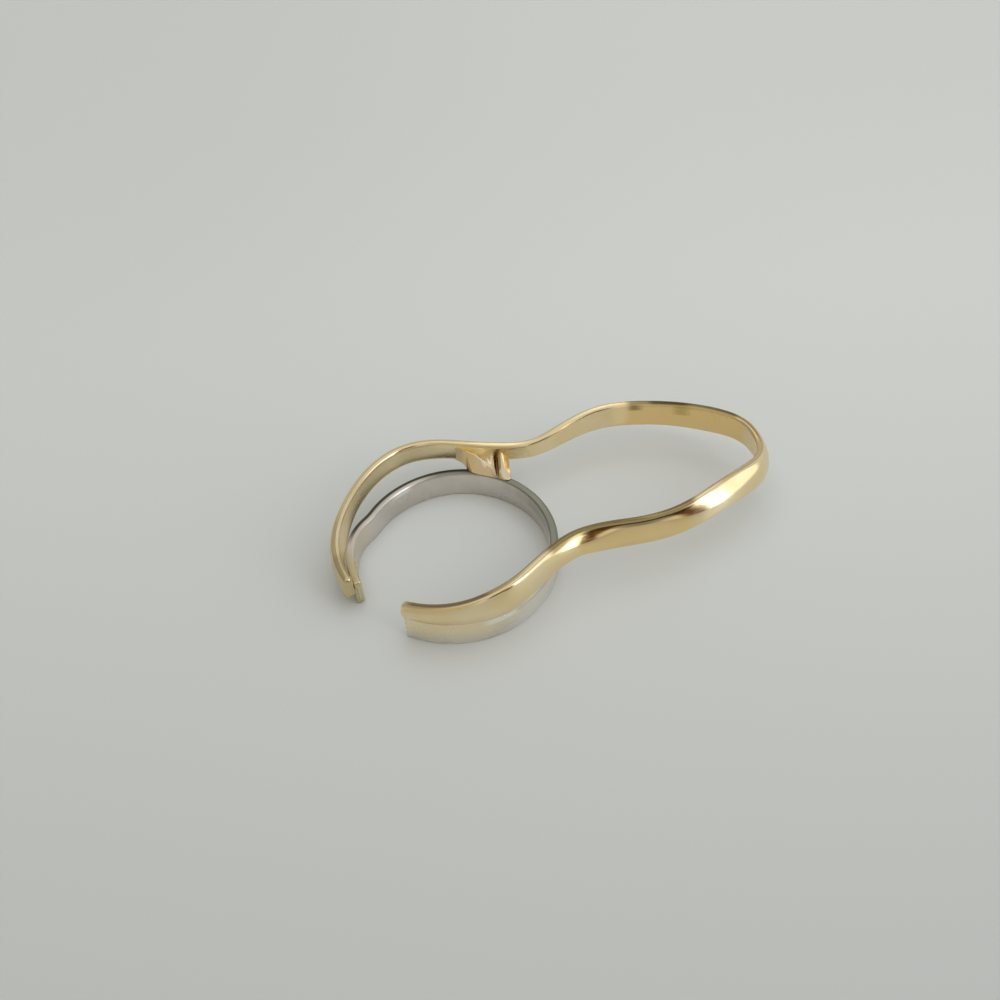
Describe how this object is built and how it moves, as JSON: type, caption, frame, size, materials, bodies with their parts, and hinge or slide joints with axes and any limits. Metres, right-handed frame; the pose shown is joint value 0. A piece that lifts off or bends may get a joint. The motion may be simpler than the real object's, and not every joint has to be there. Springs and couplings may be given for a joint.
{
  "type": "open wave ring",
  "caption": "Open ring of a plain silver band with a polished gold band soldered on its rim, which waves out into a wide lobe beside the finger and back along the front.",
  "frame": {"origin": "middle of the finger hole, on the surface that the ring lies on", "axes": "+X from the finger hole towards the wide lobe, +Y away from the gap between the band's ends, +Z along the finger, from the silver rim on the floor to the gold band"},
  "size_m": [0.0409, 0.0237, 0.0064],
  "materials": {
    "silver": "worn polished silver with fine scratches",
    "gold": "high polish pale yellow gold"
  },
  "bodies": {
    "root": {"silver_band": "silver", "wave_band": "gold"}
  },
  "joints": []
}
